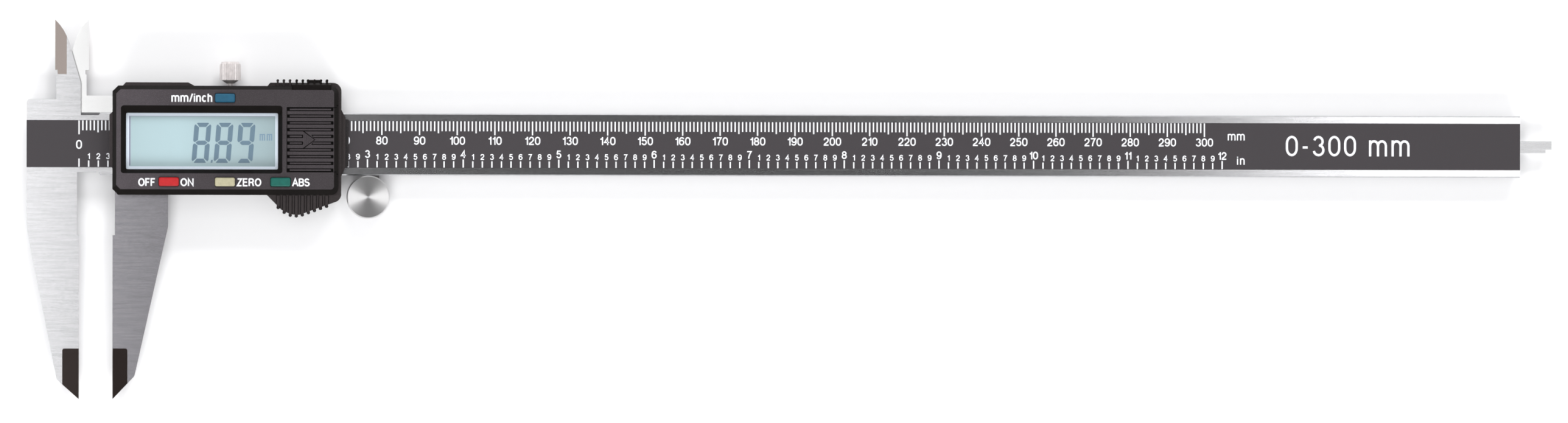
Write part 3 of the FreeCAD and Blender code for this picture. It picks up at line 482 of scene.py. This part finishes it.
# Each letter is its width and its strokes' centre lines, on a height of 1.
LETTERS = {
    "0": (0.58, [OVAL]),
    "1": (0.30, [[(0, 0.74), (0.15, 0.78), (0.26, 0.88), (0.30, 1)], [(0.30, 1.07), (0.30, -0.07)]]),
    "2": (0.58, [[(0.02, 0.68)] + arc(0.29, 0.71, 0.27, 0.29, 175, -25)
                 + [(0.38, 0.38), (0.10, 0.17), (0.01, 0)],
                 [(-0.06, 0), (0.62, 0)]]),
    "3": (0.58, [arc(0.28, 0.75, 0.25, 0.25, 165, -80), arc(0.29, 0.275, 0.29, 0.275, 85, -170)]),
    "4": (0.60, [[(0.44, -0.07), (0.44, 1), (0.01, 0.30), (0.66, 0.30)]]),
    "5": (0.58, [[(0.56, 1), (0.12, 1), (0.04, 0.50)],
                 [(0.05, 0.52)] + arc(0.29, 0.32, 0.29, 0.32, 135, -165)]),
    "6": (0.58, SIX),
    "7": (0.58, [[(-0.04, 1), (0.56, 1), (0.36, 0.60), (0.24, 0.25), (0.20, -0.07)]]),
    "8": (0.58, [arc(0.29, 0.75, 0.245, 0.25, 0, 360, 16), arc(0.29, 0.27, 0.29, 0.27, 0, 360, 16)]),
    "9": (0.58, turned_about(SIX, 0.58)),
    "-": (0.30, [[(0, 0.42), (0.30, 0.42)]]),
    "/": (0.26, [[(-0.04, -0.06), (0.30, 1.06)]]),
    "m": (0.84, [[(0, -0.06), (0, LOW + 0.05)], ARCH, [(0.42 + x, y) for x, y in ARCH]]),
    "n": (0.42, [[(0, -0.06), (0, LOW + 0.05)], ARCH]),
    "h": (0.42, [[(0, -0.06), (0, 1.06)], ARCH]),
    "i": (0.0, [[(0, -0.06), (0, LOW + 0.03)], [(0, 0.93), (0, 1.06)]]),
    "c": (0.42, [arc(0.22, 0.385, 0.22, 0.385, 42, 318)]),
    "A": (0.70, [[(0, -0.06), (0.35, 1.03), (0.70, -0.06)], [(0.12, 0.33), (0.58, 0.33)]]),
    "B": (0.56, [[(0, -0.06), (0, 1.06)],
                 [(0, 1), (0.30, 1)] + arc(0.30, 0.765, 0.22, 0.235, 90, -90, 8) + [(0, 0.53)],
                 [(0.28, 0.53)] + arc(0.31, 0.265, 0.25, 0.265, 90, -90, 8) + [(0, 0)]]),
    "E": (0.52, [[(0.52, 1), (0, 1), (0, 0), (0.54, 0)], [(0, 0.52), (0.49, 0.52)]]),
    "F": (0.48, [[(0, -0.06), (0, 1), (0.50, 1)], [(0, 0.50), (0.43, 0.50)]]),
    "N": (0.58, [[(0, -0.06), (0, 1.0), (0.58, 0), (0.58, 1.06)]]),
    "O": (0.70, [arc(0.35, 0.5, 0.35, 0.5, 0, 360, 20)]),
    "R": (0.58, [[(0, -0.06), (0, 1.06)],
                 [(0, 1), (0.32, 1)] + arc(0.32, 0.745, 0.22, 0.255, 90, -90, 8) + [(0, 0.49)],
                 [(0.34, 0.49), (0.46, 0.42), (0.52, 0.12), (0.58, -0.05)]]),
    "S": (0.54, [arc(0.27, 0.75, 0.24, 0.25, 20, 235) + arc(0.27, 0.26, 0.27, 0.26, 65, -165)]),
    "Z": (0.56, [[(0.02, 1), (0.54, 1), (0.01, 0), (0.57, 0)]]),
}


SAME_POINT = 1e-7
SHARPEST_MITRE = 0.45       # cosine of half the turn, below which a corner's mitre grows no longer


def ribbon_edges(points, half, closed):
    """Left and right edges of a stroke of even width along a line of points."""
    left, right = [], []
    last = len(points) - 1
    for i, point in enumerate(points):
        before = points[i - 1] if i > 0 or closed else point
        after = points[(i + 1) % len(points)] if i < last or closed else point
        steps = [Vector((b[0] - a[0], b[1] - a[1])).normalized()
                 for a, b in ((before, point), (point, after)) if a != b]
        along = sum(steps, Vector((0, 0))).normalized()
        stretch = 1 / max(along.dot(steps[0]), SHARPEST_MITRE)
        side = Vector((-along.y, along.x)) * half * stretch
        left.append((point[0] + side.x, point[1] + side.y))
        right.append((point[0] - side.x, point[1] - side.y))
    return left, right


def add_stroke(bm, points, thick, back, front):
    """Solid stroke of even width. It closes on itself where its ends meet."""
    closed = (Vector(points[0]) - Vector(points[-1])).length < SAME_POINT
    if closed:
        points = points[:-1]
    rows = []
    for edge in ribbon_edges(points, thick / 2, closed):
        for z in (back, front):
            rows.append([bm.verts.new((x, y, z)) for x, y in edge])
    left_low, left_high, right_low, right_high = rows
    around = [left_low, left_high, right_high, right_low]
    count = len(points)
    for i in range(count if closed else count - 1):
        j = (i + 1) % count
        for k in range(4):
            here, following = around[k], around[(k + 1) % 4]
            bm.faces.new((here[i], here[j], following[j], following[i]))
    if not closed:
        bm.faces.new([row[0] for row in around])
        bm.faces.new([row[-1] for row in reversed(around)])


def text_width(text, gap):
    """Width of a text in the units of LETTERS."""
    return sum(LETTERS[letter][0] for letter in text) + gap * (len(text) - 1)


def add_text(bm, text, left, right, bottom, top, z, thick, gap):
    """Lettering fitted into a box in metres, its back at z. thick is the strokes' width, and gap is the
    space between letters in the units of LETTERS."""
    wide = (right - left - thick) / text_width(text, gap)
    high = top - bottom - thick
    pen = left + thick / 2
    for letter in text:
        width, strokes = LETTERS[letter]
        for layer, stroke in enumerate(strokes):
            placed = [(pen + x * wide, bottom + thick / 2 + y * high) for x, y in stroke]
            add_stroke(bm, placed, thick, z, z + PRINT_THICK + layer * STROKE_STEP)
        pen += (width + gap) * wide


def print_piece(name, bm, body):
    bmesh.ops.recalc_face_normals(bm, faces=bm.faces)
    return new_piece(name, finished_mesh(name, bm), white_ink, body)


# ---- Scale and labels, millimetres, y from the beam's axis -----------------------------
MARK_HALF = 0.18                        # half of a mark's width
MM_MARKS = 301
MM_MARK_TOP = 6.15
MM_MARK_BOTTOM = {0: 2.5, 5: 3.0}       # for tens and fives
MM_MARK_SHORT = 3.55                    # for the others
INCH_MARKS = 121                        # tenths of an inch
INCH_MARK_BOTTOM = -6.1
INCH_MARK_TOP = -3.95                   # for whole inches
INCH_MARK_SHORT = -4.45                 # for tenths
ZERO_NUMERAL = (-1.4, 2.4, 0.36)        # bottom, height and stroke width
TENS_NUMERAL = (-0.08, 2.22, 0.34)
INCH_NUMERAL = (-3.62, 2.1, 0.34)
TENTH_NUMERAL = (-4.08, 1.6, 0.27)
NUMERAL_GAP = 0.27
NUMERAL_STRETCH = 1.02
LABEL_STROKE = 0.38

# Text, left and right from the scale's zero, bottom, top, stroke width, letter gap.
STRIP_TEXTS = (
    ("mm", 306.3, 310.9, 1.55, 3.85, 0.33, 0.32),
    ("in", 308.8, 310.9, -4.95, -2.70, 0.34, 0.36),
    ("0-300", 322.0, 341.0, -2.6, 2.9, 0.62, 0.36),
    ("mm", 344.5, 355.5, -2.6, 2.9, 0.62, 0.36),
)

# Text, left and right from the moving jaw's face, bottom, top, letter gap.
KEY_LABELS = (
    ("mm/inch", 15.5, 26.25, 10.95, 13.25, 0.30),
    ("OFF", 6.82, 11.36, -11.25, -9.1, 0.26),
    ("ON", 17.9, 21.4, -11.25, -9.1, 0.26),
    ("ZERO", 32.7, 39.2, -11.25, -9.1, 0.26),
    ("ABS", 47.25, 51.95, -11.25, -9.1, 0.20),
)


def add_mark(bm, x, bottom, top):
    half = MARK_HALF * MM
    add_bar(bm, x - half, x + half, AXIS_Y + bottom * MM, AXIS_Y + top * MM, STRIP_Z, STRIP_Z + PRINT_THICK)


def scale_marks():
    """Millimetre marks along the strip's upper edge and tenths of an inch along its lower edge."""
    bm = bmesh.new()
    for mark in range(MM_MARKS):
        add_mark(bm, ZERO_X + mark * MM, MM_MARK_BOTTOM.get(mark % 10, MM_MARK_SHORT), MM_MARK_TOP)
    for mark in range(INCH_MARKS):
        top = INCH_MARK_TOP if mark % 10 == 0 else INCH_MARK_SHORT
        add_mark(bm, ZERO_X + mark * INCH / 10 * MM, INCH_MARK_BOTTOM, top)
    print_piece("scale_marks", bm, "beam")


def add_number(bm, number, x, size):
    """Number centred over a mark."""
    bottom, height, thick = (value * MM for value in size)
    text = str(number)
    width = text_width(text, NUMERAL_GAP) * (height - thick) * NUMERAL_STRETCH + thick
    low = AXIS_Y + bottom
    add_text(bm, text, x - width / 2, x + width / 2, low, low + height, STRIP_Z, thick, NUMERAL_GAP)


def scale_numerals():
    """Numerals of both scales, their units, and the range on the strip's free end."""
    bm = bmesh.new()
    add_number(bm, 0, ZERO_X, ZERO_NUMERAL)
    for number in range(10, MM_MARKS, 10):
        add_number(bm, number, ZERO_X + number * MM, TENS_NUMERAL)
    for mark in range(1, INCH_MARKS):
        x = ZERO_X + mark * INCH / 10 * MM
        if mark % 10 == 0:
            add_number(bm, mark // 10, x, INCH_NUMERAL)
        else:
            add_number(bm, mark % 10, x, TENTH_NUMERAL)
    for text, left, right, bottom, top, thick, gap in STRIP_TEXTS:
        add_text(bm, text, ZERO_X + left * MM, ZERO_X + right * MM,
                 AXIS_Y + bottom * MM, AXIS_Y + top * MM, STRIP_Z, thick * MM, gap)
    print_piece("scale_numerals", bm, "beam")


def cover_labels():
    bm = bmesh.new()
    for text, left, right, bottom, top, gap in KEY_LABELS:
        add_text(bm, text, SLIDE_X + left * MM, SLIDE_X + right * MM,
                 AXIS_Y + bottom * MM, AXIS_Y + top * MM, FACE_Z, LABEL_STROKE * MM, gap)
    print_piece("key_labels", bm, "slider")


# ---- Display, millimetres, x from the moving jaw's face, y from the beam's axis --------
DIGIT_LEFT = 21.19          # first digit's left edge at mid height
DIGIT_PITCH = 5.81
DIGIT_WIDTH = 4.45
DIGIT_BOTTOM = -5.05
DIGIT_TOP = 5.55
DIGIT_SLANT = 0.081
SEGMENT_WIDE = 1.26         # width of the upright segments
SEGMENT_FLAT = 1.12         # width of the level segments
SEGMENT_GAP = 0.20
SEGMENTS_LIT = {"8": "abcdefg", "9": "abcdfg"}
POINT_GAP = 0.62            # from the first digit's right edge to the decimal point
POINT_SHAPE = [(0, 0.05), (0.45, 0.05), (0.5, 0.8), (0.1, 0.8)]
UNIT_LEFTS = (38.72, 40.60)             # the two letters of the unit
UNIT_BOTTOM = DIGIT_BOTTOM + 5.9
UNIT_LEG_PITCH = 0.57
UNIT_LEG_WIDTH = 0.32
UNIT_LEG_TOP = 1.45                     # from the unit's bottom
UNIT_ROOF = (1.47, 1.78)                # bottom and top of the bar over the legs, from the unit's bottom
UNIT_WIDTH = 1.46
GLASS_EDGE = (3.3, 43.9, -7.05, 8.4)    # the front glass: left, right, bottom, top
GLASS_EDGE_WIDTH = 1.05
GLASS_EDGE_LAYERS = 3                   # thickness in layers of print
SHADOW_TOP_LINE = 0.14                    # width of the painted shadow line along the top
SHADOW_TOP_ENDS = (1.0, 1.6)              # from the glass's left end and from its right end
SHADOW_LEFT_LINE = 0.42                   # width of the painted shadow line down the left
SHADOW_LEFT_ENDS = (1.3, 0.2)             # from the glass's bottom and from the inner side of its top edge


def segment_shapes():
    """Outlines of the seven segments in an upright digit, millimetres, origin at its lower left corner."""
    width = DIGIT_WIDTH
    height = DIGIT_TOP - DIGIT_BOTTOM
    middle = height / 2
    wide, flat, gap = SEGMENT_WIDE, SEGMENT_FLAT, SEGMENT_GAP
    inner_low = flat + gap * 0.7
    inner_high = middle - flat / 2 - gap * 0.7
    side_low = [(0.10, 0.62), (0.32, 0.42), (wide, inner_low), (wide, inner_high),
                (0.42, middle - gap * 0.75), (0.08, middle - 0.42), (0, middle - 0.75), (0, 0.85)]
    bottom = [(0.62, 0.12), (0.85, 0), (width - 0.85, 0), (width - 0.62, 0.12),
              (width - wide - gap * 0.4, flat), (wide + gap * 0.4, flat)]
    bar_left = wide + gap * 0.3
    bar_right = width - wide - gap * 0.3
    bar = [(0.62, middle), (bar_left, middle - flat / 2), (bar_right, middle - flat / 2),
           (width - 0.62, middle), (bar_right, middle + flat / 2), (bar_left, middle + flat / 2)]

    def flip_x(points):
        return [(width - x, y) for x, y in reversed(points)]

    def flip_y(points):
        return [(x, height - y) for x, y in reversed(points)]

    return {"a": flip_y(bottom), "b": flip_y(flip_x(side_low)), "c": flip_x(side_low), "d": bottom,
            "e": side_low, "f": flip_y(side_low), "g": bar}


def slanted(points, left):
    """Display points moved to a digit's place, leaning to the right."""
    middle = (DIGIT_BOTTOM + DIGIT_TOP) / 2
    return [(SLIDE_X + (left + x + (y + DIGIT_BOTTOM - middle) * DIGIT_SLANT) * MM,
             AXIS_Y + (y + DIGIT_BOTTOM) * MM) for x, y in points]


def ccw(points):
    """The same outline, counter-clockwise."""
    area = sum(x0 * y1 - x1 * y0 for (x0, y0), (x1, y1) in zip(points, points[1:] + points[:1]))
    return points if area > 0 else list(reversed(points))


def panel_bar(bm, left, right, bottom, top, layers=1):
    """Printed bar on the display panel, as many layers of print thick."""
    add_bar(bm, SLIDE_X + left * MM, SLIDE_X + right * MM, AXIS_Y + bottom * MM, AXIS_Y + top * MM,
            PANEL_Z, PANEL_Z + layers * PRINT_THICK)


def display_digits():
    """The reading, 8.89, and its unit."""
    bm = bmesh.new()
    shapes = segment_shapes()
    back = PANEL_Z
    front = PANEL_Z + PRINT_THICK
    for place, digit in enumerate("889"):
        for name in SEGMENTS_LIT[digit]:
            add_prism(bm, ccw(slanted(shapes[name], DIGIT_LEFT + place * DIGIT_PITCH)), back, front)
    add_prism(bm, ccw(slanted(POINT_SHAPE, DIGIT_LEFT + DIGIT_WIDTH + POINT_GAP)), back, front)
    new_piece("display_digits", finished_mesh("display_digits", bm), segment_ink, "slider")

    bm = bmesh.new()
    roof_bottom, roof_top = (UNIT_BOTTOM + rise for rise in UNIT_ROOF)
    for left in UNIT_LEFTS:
        for leg in range(3):
            x = left + leg * UNIT_LEG_PITCH
            panel_bar(bm, x, x + UNIT_LEG_WIDTH, UNIT_BOTTOM, UNIT_BOTTOM + UNIT_LEG_TOP)
        panel_bar(bm, left, left + UNIT_WIDTH, roof_bottom, roof_top)
    new_piece("display_unit", finished_mesh("display_unit", bm), unit_ink, "slider")


def display_border():
    """Pale cut edge of the display's front glass, with a painted shadow line inside it along the top and
    down the left.
    """
    left, right, bottom, top = GLASS_EDGE
    inner_left = left + GLASS_EDGE_WIDTH
    inner_right = right - GLASS_EDGE_WIDTH
    inner_bottom = bottom + GLASS_EDGE_WIDTH
    inner_top = top - GLASS_EDGE_WIDTH
    bm = bmesh.new()
    panel_bar(bm, left, right, inner_top, top, GLASS_EDGE_LAYERS)
    panel_bar(bm, left, right, bottom, inner_bottom, GLASS_EDGE_LAYERS)
    panel_bar(bm, left, inner_left, inner_bottom, inner_top, GLASS_EDGE_LAYERS)
    panel_bar(bm, inner_right, right, inner_bottom, inner_top, GLASS_EDGE_LAYERS)
    new_piece("display_edge", finished_mesh("display_edge", bm), edge_glass, "slider")
    # Painted shadow: dark lines inside the glass edge, along its top and down its left side.
    bm = bmesh.new()
    panel_bar(bm, left + SHADOW_TOP_ENDS[0], right - SHADOW_TOP_ENDS[1], inner_top - SHADOW_TOP_LINE, inner_top)
    panel_bar(bm, inner_left, inner_left + SHADOW_LEFT_LINE, bottom + SHADOW_LEFT_ENDS[0],
              inner_top - SHADOW_LEFT_ENDS[1])
    new_piece("display_painted_shadow", finished_mesh("display_painted_shadow", bm), painted_shadow_ink, "slider")


# ---- Camera, light and floor, metres ---------------------------------------------------
CAMERA_DISTANCE = 1.887
CAMERA_YAW = math.radians(4.440)
CAMERA_ROLL = math.radians(0.096)
CAMERA_LENS = 162.5
LOOK_AT = (187.1 * MM, -17.64 * MM)     # from the scale's zero and the beam's axis

FLOOR_REACH = 4.0                       # half of the floor's side
FLOOR_DROP = 0.0002                     # keeps the floor clear of the caliper's back
FLOOR_SHINE = 0.1

HORIZON_TONE = 0.72                     # the room's tones, and the heights of a direction where they lie
MIDDLE_TONE = 0.30
OVERHEAD_TONE = 0.12
HORIZON_UP = 0.42
MIDDLE_UP = 0.60
OVERHEAD_UP = 0.78

# Name, left and right ends, radiance, and the radiance of the middle third.
OVERHEAD_PANELS = (
    ("left_panel", -0.85, -0.222, 1.95, 2.42),
    ("right_panel", 0.365, 0.56, 2.4, 3.4),
)
PANEL_HEIGHT = 1.5
PANEL_DEPTH = 1.5
GLOW_PLACE = (-2.1, 0.0, 1.15)
GLOW_AIM = (-0.2, 0.0, 0.0)
GLOW_SIZE = (0.5, 1.2)
GLOW_POWER = 1.0
FILL_PLACE = (2.2, 1.5)                 # distance to either side, height
FILL_SIZE = (2.6, 0.9)
FILL_POWER = 70


def photo_camera():
    """Looks almost straight down, turned a little so that the beam's free end is farther away."""
    target = Vector((ZERO_X + LOOK_AT[0], AXIS_Y + LOOK_AT[1], STRIP_Z))
    data = bpy.data.cameras.new("camera")
    data.sensor_width = 36.0
    data.lens = CAMERA_LENS
    data.clip_start = 0.05
    data.clip_end = 20
    camera = bpy.data.objects.new("camera", data)
    bpy.context.scene.collection.objects.link(camera)
    look = Vector((math.sin(CAMERA_YAW), 0, -math.cos(CAMERA_YAW)))
    camera.location = target - look * CAMERA_DISTANCE
    turn = Matrix.Rotation(-CAMERA_YAW, 4, "Y") @ Matrix.Rotation(CAMERA_ROLL, 4, "Z")
    camera.matrix_world = Matrix.Translation(camera.location) @ turn
    bpy.context.scene.camera = camera


def floor():
    bm = bmesh.new()
    bmesh.ops.create_grid(bm, x_segments=1, y_segments=1, size=FLOOR_REACH)
    piece = bpy.data.objects.new("floor", finished_mesh("floor", bm))
    bpy.context.scene.collection.objects.link(piece)
    paper = Shader("paper")
    paper.set(Base_Color=(0.93, 0.93, 0.94, 1), Roughness=0.9, Specular_IOR_Level=FLOOR_SHINE)
    piece.data.materials.append(paper.material)
    piece.location.z = -FLOOR_DROP


def panel_light(name, place, target, size, power):
    data = bpy.data.lights.new(name, "AREA")
    data.shape = "RECTANGLE"
    data.size, data.size_y = size
    data.energy = power
    light = bpy.data.objects.new(name, data)
    bpy.context.scene.collection.objects.link(light)
    light.location = place
    aim = Vector(target) - Vector(place)
    light.rotation_euler = aim.to_track_quat("-Z", "Y").to_euler()
    return light


def overhead_panel(name, left, right, radiance, mirrored):
    """Soft panel over the caliper, of which only the middle third shows in reflections."""
    width = right - left
    middle = (left + right) / 2
    third = PANEL_DEPTH / 3
    for part in (-1, 0, 1):
        place = (middle, part * third, PANEL_HEIGHT)
        power = (radiance if part else mirrored) * math.pi * width * third
        panel = panel_light(name, place, (middle, part * third, 0), (width, third), power)
        panel.visible_glossy = part == 0


def surroundings():
    """Room that is light near the horizon and darkens towards overhead."""
    world = bpy.data.worlds.new("studio")
    world.use_nodes = True
    tree = world.node_tree
    direction = tree.nodes.new("ShaderNodeTexCoord")
    split = tree.nodes.new("ShaderNodeSeparateXYZ")
    tree.links.new(direction.outputs["Generated"], split.inputs[0])
    fade = tree.nodes.new("ShaderNodeValToRGB")
    low, high = fade.color_ramp.elements
    low.position, low.color = HORIZON_UP, grey(HORIZON_TONE)
    high.position, high.color = OVERHEAD_UP, grey(OVERHEAD_TONE)
    middle = fade.color_ramp.elements.new(MIDDLE_UP)
    middle.color = grey(MIDDLE_TONE)
    tree.links.new(split.outputs["Z"], fade.inputs["Fac"])
    tree.links.new(fade.outputs["Color"], tree.nodes["Background"].inputs["Color"])
    bpy.context.scene.world = world


def studio():
    """Dark overhead with bright panels off both ends, and soft side light that stays out of reflections."""
    surroundings()
    for panel in OVERHEAD_PANELS:
        overhead_panel(*panel)
    panel_light("left_glow", GLOW_PLACE, GLOW_AIM, GLOW_SIZE, GLOW_POWER)
    for side in (-1, 1):
        place = (0.0, side * FILL_PLACE[0], FILL_PLACE[1])
        fill = panel_light("side_panel", place, (0.0, 0.0, 0.0), FILL_SIZE, FILL_POWER)
        fill.visible_glossy = False
    settings = bpy.context.scene.view_settings
    settings.view_transform = "Standard"
    settings.look = "None"
    settings.exposure = 0.0
    settings.gamma = 1.0


segment_ink = plain_print("segment_ink", (0.047, 0.118, 0.180), 0.5)
unit_ink = plain_print("unit_ink", (0.105, 0.20, 0.29), 0.5)
edge_glass = plain_print("edge_glass", (0.66, 0.74, 0.84), 0.3)
# Dark ink for the painted shadow lines inside the display's glass edge.
painted_shadow_ink = plain_print("painted_shadow_ink", (0.20, 0.22, 0.30), 0.5)

photo_camera()
floor()
studio()
dress_nodes()
scale_marks()
scale_numerals()
cover_labels()
display_digits()
display_border()
